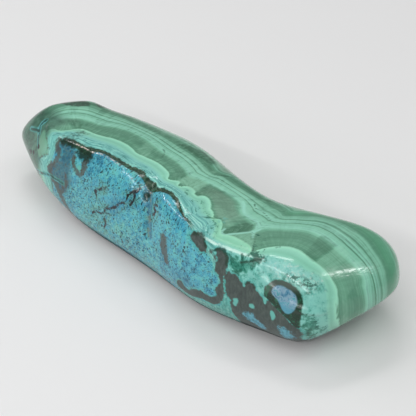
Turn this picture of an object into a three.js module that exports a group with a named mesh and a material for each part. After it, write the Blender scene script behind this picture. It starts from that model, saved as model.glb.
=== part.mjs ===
// A hand-sized polished freeform of chrysocolla in banded malachite: one stone, ground and polished
// all over, lying on a narrow flat sole. Millimetres, +Z up, +X towards the blunt end, and the blue
// chrysocolla side faces -Y. The shape is a coarse cage of sections, smoothed by Catmull-Clark steps,
// and its origin is the middle of its footprint.
import * as THREE from 'three';

const TAPERED_END_X = -81;
const BLUNT_END_X = 72;
const SMOOTHING_STEPS = 2;

// Outlines along the stone. A place is 0 at the tapered end and 1 at the blunt end.
const PLACES = [0, 0.12, 0.26, 0.4, 0.54, 0.68, 0.82, 0.93, 1];
const OUTLINES = {
  frontY: [-11.5, -24, -25, -24.5, -25, -27.5, -24, -20.5, -21],
  backY: [13.5, 20.5, 26, 26.5, 22, 21.5, 29, 35, 25],
  crestZ: [31, 31.5, 35.5, 35.5, 36, 33.3, 35, 35, 28],
  crestSetBack: [8, 6.5, 10.5, 9, 9.5, 7, 8, 9.5, 7.5],
  browZ: [28.5, 31, 31, 33, 33.5, 31.3, 32.8, 32, 27.5],
  browSetBack: [5, 7, 8.5, 8, 7, 6, 5.5, 6, 4],
  soleZ: [14.5, 5.5, -0.5, -0.8, -0.8, -0.4, -0.4, 0.3, 3],
  soleBackLift: [2.5, 0.5, 0, 0, 0, 0, 0, 3, 11],
  soleFrontInset: [4, 5.5, 4, 4, 5, 7, 8, 7, 6],
  soleBackInset: [9, 9, 10, 10, 11, 11, 9, 7, 7],
};

// Places of the cage's sections, closer together towards the ends.
const SECTIONS = [
  0, 0.035, 0.09, 0.16, 0.235, 0.31, 0.385, 0.46, 0.535, 0.61, 0.685, 0.76, 0.83, 0.895, 0.955, 1,
];
const TOP_CROWN = 0.6; // how far the middle of the top stands above the line from crest to brow
const EDGE_TIGHTNESS = 0.16; // share of a side at which the cage holds the crest; less is sharper
const THIRD = 0.33; // shares that place the cage's points between a section's four corners
const TWO_THIRDS = 0.67;
const SOLE_TILT = 0.6; // share of the sole's back lift that its inner point takes
const BACK_SHOULDER = { inset: 0.35, height: 0.72 };
const FRONT_SHOULDER = { inset: 0.45, height: 1 - EDGE_TIGHTNESS };
const FRONT_BELLY = 0.38; // height of the front's fullest point, as a share of the crest's

// The ends: how much the last sections shrink, how far they skew and lean, and how far the cap bulges.
const END_REACH = 0.3; // share of the length over which an end skews and leans
const BLUNT_FULLNESS = 0.05; // extra width kept by the section before the blunt end
const TAPERED_END = { shrink: 1.27, skew: -0.34, lean: -0.66, bulge: 4 };
const BLUNT_END = { shrink: 0.86, skew: -0.28, lean: -0.28, bulge: 3 };

// Hollows and swells left by hand grinding: centre, radius and depth, a swell's depth below zero.
// They are pressed in towards the stone's long axis, which lies at this height.
const AXIS_HEIGHT = 17;
const HOLLOWS = [
  { at: [-8.5, -16, 34], radius: 5, depth: 1.5 },
  { at: [-4.5, -22, 26], radius: 7, depth: 1 },
  { at: [3, -17.5, 33], radius: 7, depth: -0.9 },
  { at: [-22, -22, 27], radius: 12, depth: -0.7 },
];

const RING = 12;
const GRID = 4;
// The ring's points on an end's grid: across from front to back, then up from sole to top.
const RING_GRID = [
  [0, 0], [1, 0], [2, 0], [3, 0], [3, 1], [3, 2], [3, 3], [2, 3], [1, 3], [0, 3], [0, 2], [0, 1],
];
const { lerp } = THREE.MathUtils;

function outlineAt(name, place) {
  const curve = new THREE.CubicInterpolant(PLACES, OUTLINES[name], 1, [0]);
  return curve.evaluate(place)[0];
}

// One section's ring of (y, z) points, from the sole's front corner towards the back and round.
function sectionRing(place) {
  const o = {};
  for (const name of Object.keys(OUTLINES)) o[name] = outlineAt(name, place);
  const soleFront = [o.frontY + o.soleFrontInset, o.soleZ];
  const soleBack = [o.backY - o.soleBackInset, o.soleZ + o.soleBackLift];
  const crest = [o.frontY + o.crestSetBack, o.crestZ];
  const brow = [o.backY - o.browSetBack, o.browZ];
  const across = (share, rise) => [
    lerp(crest[0], brow[0], share),
    lerp(crest[1], brow[1], share) + rise * TOP_CROWN,
  ];
  return [
    soleFront,
    [lerp(soleFront[0], soleBack[0], THIRD), soleFront[1]],
    [lerp(soleFront[0], soleBack[0], TWO_THIRDS), lerp(soleFront[1], soleBack[1], SOLE_TILT)],
    soleBack,
    [o.backY, lerp(soleBack[1], brow[1], THIRD)],
    [lerp(o.backY, brow[0], BACK_SHOULDER.inset), lerp(o.soleZ, brow[1], BACK_SHOULDER.height)],
    brow,
    across(TWO_THIRDS, 1),
    across(EDGE_TIGHTNESS, TWO_THIRDS),
    crest,
    [lerp(o.frontY, crest[0], FRONT_SHOULDER.inset), lerp(o.soleZ, crest[1], FRONT_SHOULDER.height)],
    [o.frontY, lerp(o.soleZ, crest[1], FRONT_BELLY)],
  ];
}

function ringCentre(ring) {
  const ys = ring.map(([y]) => y);
  const zs = ring.map(([, z]) => z);
  return [(Math.min(...ys) + Math.max(...ys)) / 2, (Math.min(...zs) + Math.max(...zs)) / 2];
}

// The last section of each end shrinks fully and the one before it half as much.
function endScale(index) {
  const last = SECTIONS.length - 1;
  if (index === 0) return TAPERED_END.shrink;
  if (index === 1) return (1 + TAPERED_END.shrink) / 2;
  if (index === last) return BLUNT_END.shrink;
  if (index === last - 1) return (1 + BLUNT_END.shrink) / 2 + BLUNT_FULLNESS;
  return 1;
}

function cageRings() {
  return SECTIONS.map((place, index) => {
    const ring = sectionRing(place);
    const [cy, cz] = ringCentre(ring);
    const scale = endScale(index);
    const taper = Math.max(0, 1 - place / END_REACH) ** 2;
    const blunt = Math.max(0, 1 - (1 - place) / END_REACH) ** 2;
    const skew = taper * TAPERED_END.skew + blunt * BLUNT_END.skew;
    const lean = taper * TAPERED_END.lean + blunt * BLUNT_END.lean;
    const x = lerp(TAPERED_END_X, BLUNT_END_X, place);
    return ring.map(([y, z]) => {
      const dy = (y - cy) * scale;
      const dz = (z - cz) * scale;
      return new THREE.Vector3(x - skew * dy - lean * dz, cy + dy, cz + dz);
    });
  });
}

// Fills an end with a grid of cage points whose border is the ring (a Coons patch), pushed outwards
// by the bulge. Returns the grid of point numbers.
function capEnd(points, firstOfRing, outwards, bulge) {
  const last = GRID - 1;
  const grid = Array.from({ length: GRID }, () => []);
  RING_GRID.forEach(([across, up], i) => (grid[across][up] = firstOfRing + i));
  const at = (across, up) => points[grid[across][up]];
  for (let up = 1; up < last; up++) {
    for (let across = 1; across < last; across++) {
      const u = across / last;
      const v = up / last;
      const inner = new THREE.Vector3()
        .addScaledVector(at(across, 0), 1 - v)
        .addScaledVector(at(across, last), v)
        .addScaledVector(at(0, up), 1 - u)
        .addScaledVector(at(last, up), u)
        .addScaledVector(at(0, 0), -(1 - u) * (1 - v))
        .addScaledVector(at(last, 0), -u * (1 - v))
        .addScaledVector(at(0, last), -(1 - u) * v)
        .addScaledVector(at(last, last), -u * v);
      inner.x += outwards * bulge;
      grid[across][up] = points.push(inner) - 1;
    }
  }
  return grid;
}

function buildCage() {
  const points = cageRings().flat();
  const quads = [];
  for (let s = 0; s < SECTIONS.length - 1; s++) {
    for (let i = 0; i < RING; i++) {
      const next = (i + 1) % RING;
      const here = s * RING;
      quads.push([here + i, here + next, here + RING + next, here + RING + i]);
    }
  }
  const tapered = capEnd(points, 0, -1, TAPERED_END.bulge);
  const blunt = capEnd(points, (SECTIONS.length - 1) * RING, 1, BLUNT_END.bulge);
  for (let a = 0; a < GRID - 1; a++) {
    for (let b = 0; b < GRID - 1; b++) {
      quads.push([tapered[a][b], tapered[a][b + 1], tapered[a + 1][b + 1], tapered[a + 1][b]]);
      quads.push([blunt[a][b], blunt[a + 1][b], blunt[a + 1][b + 1], blunt[a][b + 1]]);
    }
  }
  return { points, quads };
}

function average(vectors) {
  const sum = new THREE.Vector3();
  for (const v of vectors) sum.add(v);
  return sum.divideScalar(vectors.length);
}

// One Catmull-Clark step on a closed mesh of quads.
function catmullClark({ points, quads }) {
  const faceCentres = quads.map((quad) => average(quad.map((i) => points[i])));
  const edges = new Map();
  const facesAt = points.map(() => []);
  const edgesAt = points.map(() => []);
  const keyOf = (a, b) => Math.min(a, b) * points.length + Math.max(a, b);
  quads.forEach((quad, face) => {
    quad.forEach((a, corner) => {
      const b = quad[(corner + 1) % 4];
      facesAt[a].push(faceCentres[face]);
      if (!edges.has(keyOf(a, b))) {
        const edge = { middle: average([points[a], points[b]]), centres: [] };
        edges.set(keyOf(a, b), edge);
        edgesAt[a].push(edge.middle);
        edgesAt[b].push(edge.middle);
      }
      edges.get(keyOf(a, b)).centres.push(faceCentres[face]);
    });
  });
  const moved = points.map((point, i) => {
    const n = facesAt[i].length;
    return average(facesAt[i])
      .addScaledVector(average(edgesAt[i]), 2)
      .addScaledVector(point, n - 3)
      .divideScalar(n);
  });
  for (const edge of edges.values()) {
    edge.number = moved.push(average([edge.middle, average(edge.centres)])) - 1;
  }
  const split = [];
  quads.forEach((quad, face) => {
    const centre = moved.push(faceCentres[face]) - 1;
    quad.forEach((a, corner) => {
      const after = edges.get(keyOf(a, quad[(corner + 1) % 4])).number;
      const before = edges.get(keyOf(a, quad[(corner + 3) % 4])).number;
      split.push([a, after, centre, before]);
    });
  });
  return { points: moved, quads: split };
}

// Presses each hollow in towards the stone's long axis, fading out smoothly with distance.
function grindHollows(points) {
  const inwards = new THREE.Vector3();
  for (const point of points) {
    for (const { at, radius, depth } of HOLLOWS) {
      const centre = new THREE.Vector3(...at);
      const fade = Math.exp(-((point.distanceTo(centre) / radius) ** 2));
      inwards.set(0, -centre.y, AXIS_HEIGHT - centre.z).normalize();
      point.addScaledVector(inwards, depth * fade);
    }
  }
}

// Grinds the underside to a flat sole at z = 0.
function flattenSole(points) {
  for (const point of points) point.z = Math.max(point.z, 0);
}

// Moves the middle of the footprint's bounding rectangle to the origin.
function centreFootprint(points) {
  const middle = new THREE.Box3().setFromPoints(points).getCenter(new THREE.Vector3());
  for (const point of points) point.sub(new THREE.Vector3(middle.x, middle.y, 0));
}

function toGeometry({ points, quads }) {
  const index = quads.flatMap(([a, b, c, d]) => [a, b, c, a, c, d]);
  const geometry = new THREE.BufferGeometry().setFromPoints(points);
  geometry.setIndex(index);
  geometry.computeVertexNormals();
  return geometry;
}

function buildStone() {
  let mesh = buildCage();
  for (let step = 0; step < SMOOTHING_STEPS; step++) mesh = catmullClark(mesh);
  grindHollows(mesh.points);
  flattenSole(mesh.points);
  centreFootprint(mesh.points);
  const polish = new THREE.MeshStandardMaterial({ color: 0x5aa88c, roughness: 0.18, metalness: 0 });
  const stone = new THREE.Mesh(toGeometry(mesh), polish);
  stone.name = 'polished_stone';
  return stone;
}

const specimen = new THREE.Group();
specimen.add(buildStone());

export default specimen;
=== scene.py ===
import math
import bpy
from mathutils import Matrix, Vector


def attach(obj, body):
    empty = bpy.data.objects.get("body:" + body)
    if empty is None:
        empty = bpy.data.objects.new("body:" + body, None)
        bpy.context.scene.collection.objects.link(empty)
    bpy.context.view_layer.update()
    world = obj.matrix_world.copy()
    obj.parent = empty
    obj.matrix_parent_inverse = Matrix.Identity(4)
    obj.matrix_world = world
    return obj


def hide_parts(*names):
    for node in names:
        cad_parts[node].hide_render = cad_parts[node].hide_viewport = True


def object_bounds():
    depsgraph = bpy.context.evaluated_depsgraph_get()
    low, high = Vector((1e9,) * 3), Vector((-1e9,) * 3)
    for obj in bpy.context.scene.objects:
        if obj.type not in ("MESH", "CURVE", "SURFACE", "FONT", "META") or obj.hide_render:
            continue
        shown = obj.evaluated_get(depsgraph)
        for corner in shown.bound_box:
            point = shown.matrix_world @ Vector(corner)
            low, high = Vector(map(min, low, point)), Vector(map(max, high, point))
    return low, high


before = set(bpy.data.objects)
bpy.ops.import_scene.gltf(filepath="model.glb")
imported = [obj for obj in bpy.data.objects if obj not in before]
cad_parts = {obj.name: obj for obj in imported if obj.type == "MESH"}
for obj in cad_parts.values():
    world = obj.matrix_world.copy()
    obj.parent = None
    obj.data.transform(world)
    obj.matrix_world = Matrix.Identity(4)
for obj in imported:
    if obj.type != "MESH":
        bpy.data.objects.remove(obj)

# A polished freeform of chrysocolla in banded malachite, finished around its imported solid.
# Places in the settings are millimetres in the stone's own frame: +X to the blunt end, -Y the blue
# side, +Z up. Plan outlines are (x, y) seen from above and front outlines are (x, z).
from types import SimpleNamespace

import bmesh
import bpy
import numpy as np
from mathutils import Vector

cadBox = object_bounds()
mm = 0.001
print("frame loaded")


def smoothLine(points, steps=4):
    # Catmull-Rom through given points
    p = np.array(points, float)
    p = np.vstack([2 * p[0] - p[1], p, 2 * p[-1] - p[-2]])
    t = np.linspace(0, 1, steps, endpoint=False)[:, None]
    spans = [
        0.5 * (2 * b + (c - a) * t + (2 * a - 5 * b + 4 * c - d) * t**2 + (3 * (b - c) + d - a) * t**3)
        for a, b, c, d in zip(p, p[1:], p[2:], p[3:])
    ]
    return np.vstack([*spans, p[-2]])


def smoothLoop(points, steps=4):
    p = np.array(points, float)
    wrapped = np.vstack([p[-2:], p, p[:2]])
    return smoothLine(wrapped, steps)[steps * 2 : steps * (len(p) + 2)]


def lineDistance(u, v, line):
    # distance to an open line, and how far along it the nearest point is
    best = np.full(len(u), 1e9)
    along = np.zeros(len(u))
    run = 0.0
    for (ax, ay), (bx, by) in zip(line, line[1:]):
        dx, dy = bx - ax, by - ay
        length = math.hypot(dx, dy) or 1e-9
        share = np.clip(((u - ax) * dx + (v - ay) * dy) / length**2, 0, 1)
        distance = np.hypot(u - ax - share * dx, v - ay - share * dy)
        nearer = distance < best
        best = np.where(nearer, distance, best)
        along = np.where(nearer, run + share * length, along)
        run += length
    return best, along


def insideLoop(u, v, loop):
    inside = np.zeros(len(u), bool)
    for (ax, ay), (bx, by) in zip(loop, np.roll(loop, -1, axis=0)):
        crosses = (ay > v) != (by > v)
        inside ^= crosses & (u < (bx - ax) * (v - ay) / ((by - ay) or 1e-9) + ax)
    return inside


def loopDepth(u, v, loop):
    # how deep inside a closed outline, below zero outside
    distance, _ = lineDistance(u, v, np.vstack([loop, loop[:1]]))
    return np.where(insideLoop(u, v, loop), distance, -distance)


def nearest(u, v, lines):
    # distance to the closest of some given lines
    return np.min([lineDistance(u, v, smoothLine(line))[0] for line in lines], axis=0)


def fade(values, start, length):
    # 0 up to start, 1 past its length; a length below zero runs the other way
    return np.clip((values - start) / length, 0, 1)


stone = {
    "name": "chrysocollaStone",
    "node": "polished_stone",
    "levels": 2,
    "lean": 0.13,         # how far the sheets of malachite lean back per millimetre down
    "footLean": 0.5,      # the same near the sole
    "footHeight": 12.0,
    "topHeight": 33.0,
    "frontLimit": -12.0,  # front patches stop at this depth
    "outerStep": 5.0,     # spacing of the sheets past the last outline
    "innerStep": 6.0,
    "firstSheet": -3,     # growth at the blue edge
    "lobeSheet": 3,       # the outline that fibres are counted along
    "rearBow": 0.001,     # the sheets bow behind this depth, about this height
    "rearStart": 8.0,
    "rearMiddle": 18.0,
    "waves": [(1.6, 0.33, 0.6), (0.9, 0.71, 0.0)],  # height, turn per millimetre down, start
    "waveLimits": {"x": (-42, -8), "y": (-16, -4), "z": (27, -6)},
    "fanEdge": 0.5,       # width over which a fan's edge fades
    "topLimit": 25.0,     # top marks fade below this height
    "crestLimit": 24.0,   # and so do the crest's ridges below this
    "endLimit": -15.0,    # the tapered end's cracks and pits fade behind this depth
    "middleDegree": 4,    # of the curve that the foot draws in towards
    "tuckHeight": 3.5,
    "tuckShare": 0.06,
    "tuckAlong": 0.25,    # the same along the stone, as a share of that
}

# Sheets of malachite seen from above, from the blue side backwards. Growth counts them: blue is
# below -3, the dark rim ends at -2, turquoise at -1, the mint lobes at 0, the dark fibres at 1,
# the pale bands at 2 and the dark bands behind them at 3.
sheets = [
    # blue edge
    [(-50.5, -60), (-50.5, -24), (-49.5, -22), (-46, -21.3), (-42, -21), (-38, -21.3), (-34.5, -21),
     (-32, -19), (-30, -18), (-26, -17.8), (-20, -17.9), (-16, -17.8), (-13, -17.2), (-10, -17.3),
     (-8, -17.8), (-6, -18.3), (-4, -19), (-2, -19.6), (0, -19.7), (2, -19), (4, -18.3), (7, -18.2),
     (10, -18.6), (12, -19.3), (14, -20.3), (17, -21.4), (20, -22), (24, -23.6), (28, -25.2),
     (32, -26), (36, -26.5), (40, -27.5), (43, -29.5), (46, -34), (50, -60)],
    # back of the dark rim
    [(-52, -60), (-52, -24), (-51.5, -20), (-49, -18.8), (-46, -18.2), (-42, -18), (-38, -18),
     (-36, -17.6), (-34, -16.9), (-32, -16.3), (-29, -15.9), (-25, -16), (-20, -15.8), (-17, -15.7),
     (-14, -15.2), (-11, -14.5), (-9, -14.8), (-6, -15.6), (-3, -15.6), (-1, -16.5), (0.5, -17.2),
     (2, -16.4), (5, -16.1), (8, -16.3), (11, -17), (13, -18), (15, -19), (17, -20.2), (19, -21.2),
     (22, -21.5), (26, -22.4), (29, -24), (32, -25.2), (36, -26), (40, -27), (43, -28.8),
     (47, -34), (52, -60)],
    # inner edge of the mint lobes
    [(-57.5, -60), (-57.5, -24), (-56.5, -19.5), (-53, -16), (-50, -14.3), (-46, -14), (-42, -13.6),
     (-38, -13), (-34, -12.3), (-30, -11.5), (-26, -11.5), (-22, -11.5), (-18, -11.8), (-14, -11.5),
     (-10, -11.3), (-6, -12), (-3, -12.8), (0, -13.5), (4, -13), (8, -12.8), (12, -13.3), (16, -13.5),
     (19, -14.5), (21, -15.8), (23.5, -15.6), (25.5, -15.3), (27.3, -15.9), (29.5, -17.4), (31.1, -18.8),
     (31.8, -20.4), (33, -21.8), (36, -22),
     (42, -21.3), (48, -20), (52, -18.3), (56, -16.2), (60, -14.8), (64, -13.6), (68, -12.3),
     (71, -10.5), (73, -10), (75, -11), (77, -12.8), (79, -14.5), (95, -22)],
    # outer edge of the mint lobes
    [(-61.5, -60), (-61.5, -24), (-60.5, -20), (-57.5, -18.3), (-55, -17), (-53, -15), (-51.5, -12.5),
     (-50, -11.2), (-46, -10.6), (-42, -10.5), (-39, -9.8), (-36, -8.8), (-33, -8), (-30, -7.6),
     (-27, -7.5), (-24, -8), (-22, -8.6), (-20, -8.8), (-17, -8.3), (-14, -7.8), (-11, -7.6),
     (-8, -7.8), (-5, -8.3), (-3, -9), (-1.5, -10.2), (-0.3, -12), (1.5, -11.4), (3, -10.1),
     (4.2, -9.8), (4.8, -11.8), (6.3, -12.2), (7.4, -9.9), (9, -9.1), (10.5, -9.1), (11.6, -9.7),
     (12.4, -10.8), (13.6, -10.7), (14.2, -9.5), (15, -8.6), (17, -8.3), (19, -9.3), (20.5, -10.8),
     (21.5, -12), (23, -12.3), (24.5, -13.3), (25.5, -14.6), (26.5, -13.8), (28, -13.4), (30, -14.2),
     (31.5, -15.7), (32.5, -17.3), (33.8, -18.5), (35, -18.7), (36, -17.8), (38, -17), (41, -16.6),
     (44, -16.6), (47, -17.2), (49, -18.4), (49.8, -17.5), (50.5, -15.5), (51.5, -13.5), (53, -11.2),
     (55, -9.2), (57, -7.9), (59, -7.2), (61, -7), (64, -7), (67, -6.9), (70, -6.4), (73, -6.4),
     (75, -6.8), (77, -7.4), (78.4, -8.6), (79.2, -9.6), (80, -11), (95, -18)],
    # dark fibres to pale bands
    [(-64, -60), (-63.5, -24), (-62.8, -18), (-62, -14), (-61.5, -12), (-60.5, -10), (-59.5, -8.5),
     (-58, -7), (-56, -5.8), (-54, -5), (-51, -4.5), (-48, -4.2), (-46, -3.3), (-44, -2.2), (-42, -1),
     (-40, -0.2), (-37, 0.4), (-34, 0.8), (-30, 1), (-27, 1), (-24, 0.6), (-21, 0), (-18, -0.6),
     (-15, -1), (-12, -1.1), (-9, -1.3), (-6, -1.6), (-3, -2.3), (0, -3.5), (2, -4.3), (3.5, -4.6),
     (5, -4.2), (7, -3.2), (9, -2.6), (12, -2), (15, -1.3), (18, -0.9), (21, -0.7), (24, -0.9),
     (26, -2), (28, -3.8), (30, -5), (32, -5.4), (36, -5.6), (38, -6.2), (39.8, -8), (40.8, -10),
     (41.5, -8), (42, -6), (43, -4.8), (45, -3), (47, -1.2), (49, 0.5), (51, 2), (53, 3.1), (55, 3.8),
     (58, 4.3), (61, 4.2), (65, 3.7), (69, 3.4), (73, 3.6), (76, 3.8), (78.5, 3.6), (80.3, 2.4), (82, 1),
     (95, -4)],
    # pale bands to dark bands
    [(-69, -60), (-68.5, -24), (-68, -16), (-67.5, -8), (-66, -3), (-63.5, 0.5), (-60, 2.7), (-54, 4),
     (-50, 5), (-46, 5.8), (-40, 6.3), (-35, 6.8), (-30, 7), (-25, 7), (-22, 6.8), (-18, 6.3), (-14, 6),
     (-10, 5.8), (-6, 5.4), (-2, 4.9), (0, 4.5), (3, 3.7), (5, 3.1), (7, 2.9), (8.5, 4), (10, 4.8),
     (14, 5), (17, 5.2), (20, 5.5), (24, 6), (28, 6), (32, 6), (36, 6), (39, 5.6), (41, 5), (42.5, 6.5),
     (44, 8), (46, 9.7), (48, 11.2), (50, 12.5), (52, 13.5), (54, 14), (58, 14.2), (62, 14.2),
     (66, 14.2), (70, 14), (74, 13.2), (78, 12.5), (81, 11.5), (83.4, 10), (95, 4)],
    # dark bands to the grey-green back
    [(-77, -60), (-76, -24), (-75, -12), (-72, 0), (-66, 7), (-58, 10.5), (-48, 11.5), (-40, 11.5),
     (-30, 11), (-24, 10.8), (-16, 11.3), (-10, 11), (-4, 9.9), (0, 9.1), (3, 8.2), (5.5, 7.2), (8, 7),
     (11, 9), (16, 10), (24, 10.5), (32, 10.5), (38, 10), (41, 9.5), (44, 13), (48, 16.5), (52, 19),
     (56, 20.5), (62, 21.3), (68, 21.3), (74, 20.3), (79, 18.8), (95, 13)],
]

# Fans of fibres that catch the light differently, seen from above: each is its shade, where below
# zero is darker, and its edge.
fans = [
    (-0.5, [(58.3, 5), (66, 5.2), (66.8, -7.3), (62.8, -7.3), (60.8, -2)]),
    (0.55, [(66.2, 6), (71, 6), (73, -7), (66.9, -7)]),
    (0.25, [(71, 6), (78, 6), (80, -8), (73, -7)]),
    (0.5, [(40.8, -10.5), (42.5, -10), (49, -18.2), (42, -17), (36, -17.6)]),
    (-0.75, [(35.4, -17.6), (33.6, -17.4), (33, -15.6), (33.6, -12.5), (34.2, -9), (36, -7.2),
             (38.2, -7), (39.8, -9), (39.6, -12), (38, -13.8)]),
    (0.18, [(22, -1.5), (26, -3), (33, -6), (33.6, -12.5), (32.5, -16.5), (27, -13), (21, -11)]),
    (-0.55, [(10.7, -2), (18, -1), (16, -4.5), (14.5, -6.5), (14.2, -10.7), (12.2, -10.7)]),
    (0.7, [(2.4, -5), (5, -3.7), (10.6, -2.4), (12, -10), (7, -9.8), (3, -10.4)]),
    (-0.3, [(-2, -2.6), (2, -4.5), (2.8, -8), (1.5, -11), (-1.2, -10.8), (-2.5, -8)]),
    (-0.35, [(16.5, -1), (25.5, -1.5), (29, -5), (26, -8), (19, -8.8), (15.4, -6)]),
    (0.25, [(-61.5, -11), (-57, -10.5), (-52, -13), (-53, -17), (-60, -19), (-62, -14)]),
    (-0.35, [(-61, -10.5), (-57, -6.5), (-50, -10.5), (-53, -13)]),
    (0.3, [(-25, -0.5), (-20, -1), (-16, -8), (-21.5, -8.5)]),
    (-0.85, [(-18, 7.2), (-12.7, 9.9), (-6, 10.6), (1, 9.4), (2.6, 6.6), (-2.5, 6.6), (-10.9, 6.9)]),
    (-1.1, [(-69.5, -5.2), (-66.5, -4.6), (-64, -1.8), (-62.2, 2.5), (-63.8, 4.2), (-68, 3.6),
            (-72, 0.5), (-72.5, -3.5)]),
    (-1.0, [(-63, 5.8), (-59.8, 5), (-57.4, 7.4), (-54, 8.8), (-54.5, 11), (-60, 11)]),
]

# Thin marks seen from above.
topMarks = {
    "dark": [
        [(-17, 0.6), (-15, -0.4), (-13.8, -1.8), (-12.6, -3.6)],
        [(7.6, 3), (9.6, 5), (12, 8.4)],
        [(28.5, 2.6), (31, 0.9), (34, 1.1), (37, 0.3), (40, -1)],
        [(42.6, -12.6), (44, -14)],
        [(43, -10.5), (49.2, -18.4)],
        [(19.6, -21.8), (20.6, -19.8), (22.2, -18), (25, -15.3), (28, -12.6)],
    ],
    "pale": [
        [(25, 0.3), (27, -0.9), (29, -3), (31, -4.4), (34, -4.8), (38, -4.9), (40, -7.6)],
        [(40.6, -9.6), (42, -11), (43.6, -13)],
        [(32.8, -15.6), (33.6, -18), (35.4, -18.4), (36.6, -16.6), (38.2, -14.5), (40.4, -11.2)],
        [(41.5, -7), (41.6, -9), (40.7, -10.6)],
    ],
}

# Patches on the blue side, seen from the front.
frontPatches = {
    "greyZone": [
        [(37, 31.6), (38.5, 32.1), (40.5, 31.7), (42.5, 30.8), (43.3, 29), (43.4, 26), (43.2, 23.5),
         (43.5, 21), (44.1, 18), (43.6, 15.2), (42.4, 13), (40.8, 11.3), (38.5, 10.3), (35, 10.3),
         (32.5, 9.8), (30, 8.5), (27, 8), (24, 8), (21.5, 9), (22.5, 12), (24.5, 13.2), (26, 11.3),
         (28.2, 10.8), (29.5, 12.3), (31.5, 13.3), (34, 14.1), (37, 13.7), (39.5, 14.3), (41.2, 15.8),
         (40.6, 18), (41.3, 20), (42.2, 21.8), (41, 23.6), (39.3, 24.6), (38.7, 26.5), (39.3, 28.5),
         (38, 30)],
        [(44, 26.4), (46.5, 26.6), (48.5, 25.9), (50, 24.9), (51, 23.6), (51.5, 25), (52.3, 26.1),
         (53.8, 26.1), (55, 25.2), (56, 23.6), (58, 22.4), (59.5, 20.3), (60.5, 22), (62.5, 21.3),
         (64.5, 20.2), (66.5, 19.4), (69, 17.5), (71, 15.5), (72.2, 14), (72, 11), (71, 8), (71, -5),
         (49, -5), (48, 7), (47, 9.5), (46.7, 12.5), (46.3, 14.8), (46.8, 16.4), (45.6, 17.4),
         (44.9, 18.8), (44.6, 20.5), (44, 22.5), (43.6, 24.5)],
        [(24.6, 31.2), (26.2, 32.4), (28.4, 32.7), (31.4, 32.2), (33.4, 30.6), (33.6, 29.2),
         (31.8, 28.8), (29, 29.6), (26.6, 30.2)],
    ],
    "eyeRim": [
        [(58.3, 26.5), (59.2, 27.5), (60, 29), (61.5, 30.1), (64, 30.4), (67, 30.1), (69.5, 29),
         (71.3, 27.3), (72.3, 25), (72.5, 22), (72.3, 18.5), (72.2, 15.5), (71, 15.3), (69, 17.5),
         (66.5, 19), (64, 20.2), (61.5, 21.8), (59.8, 22.7), (58.5, 24)],
    ],
    "eyeLens": [
        [(61.2, 26.5), (61.8, 28), (63.5, 28.8), (66, 28.5), (68.5, 27.8), (70, 26.3), (70.6, 24.5),
         (70.2, 22.3), (69, 20.5), (67.5, 20), (66, 21), (65, 22.3), (63.5, 23.8), (62, 24.5),
         (61.3, 25.4)],
    ],
    "islets": [
        [(47.8, 17.6), (49.3, 18.3), (49.7, 17.3), (49.2, 15.5), (49, 14.6), (47.8, 14.5), (47.5, 15.8),
         (48.1, 16.4)],
        [(61.8, 18.5), (62.8, 18.7), (63.8, 17.6), (63.6, 16), (62.6, 14.8), (62.2, 16)],
        [(53.6, 17.2), (54.8, 18.4), (56, 17.4), (55, 16.2)],
        [(-37.6, 27.9), (-36.6, 28.8), (-35.3, 28.5), (-35.1, 27.6), (-36.2, 27)],
    ],
    "tealStrip": [
        [(14, 3), (19, 5), (24, 7.6), (30, 8.9), (36, 10.2), (41, 11), (43.5, 13.6), (44.6, 17), (46, 16),
         (47, 12), (48.5, 7), (49, -5), (10, -5)],
    ],
    "greyBlue": [
        [(-49, 31.5), (-45, 32.3), (-41, 31), (-40, 28), (-39.3, 23), (-39, 19), (-41, 15), (-44, 14),
         (-47, 17), (-51, 20), (-51, 22.5), (-48, 25.5), (-47.6, 29)],
    ],
    "tealShadow": [
        [(42.6, 31.4), (46.6, 32.4), (52, 33.6), (53.5, 32.8), (52.4, 30), (51, 27), (48.4, 27.4),
         (45.6, 27.6), (44, 29.5)],
        [(72.8, 21), (74.8, 21.5), (76, 17), (75.4, 12), (73.4, 9), (72.6, 14)],
    ],
    "speckled": [
        [(63, 32.6), (67, 32.6), (71, 31.8), (74.2, 30.6), (74.4, 29.4), (70.5, 29.9), (66, 30.9)],
    ],
    # a painted sheen: a pale patch above the eye that stands in for a soft reflection
    "paintedSheen": [
        [(54.5, 33.6), (58, 32), (62, 31.4), (67, 32.4), (70, 32.6), (68, 34.4), (60, 35.4), (56, 34.8)],
    ],
    "endPale": [
        [(-63, 29.4), (-58.6, 28.9), (-55.2, 27.6), (-53.6, 25.8), (-56.6, 23.2), (-59.4, 21), (-62, 23),
         (-62.8, 26.5)],
    ],
    "blueIslets": [
        [(51, 13.5), (53, 14), (55, 14.2), (56, 12.5), (58, 11.5), (59.5, 9), (58.5, 6.5), (56, 7),
         (53.5, 9), (51, 11)],
        [(65, 13.5), (67, 14), (69.5, 12.5), (70, 10), (67.5, 7), (65.5, 7), (64.5, 10)],
    ],
    "darkPatches": [
        [(-40.6, 31.6), (-39.5, 32.6), (-37, 32.9), (-34.3, 33.8), (-31.6, 32.8), (-33.3, 31.6),
         (-34.5, 30.6), (-36.4, 30.4), (-38.5, 31)],
        [(-50.5, 31.2), (-49, 32.4), (-44, 33), (-44, 32.2), (-48, 31.2)],
        [(-3.6, 32), (-2.2, 33), (-0.6, 32.2), (-1.8, 29.6)],
    ],
}

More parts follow.
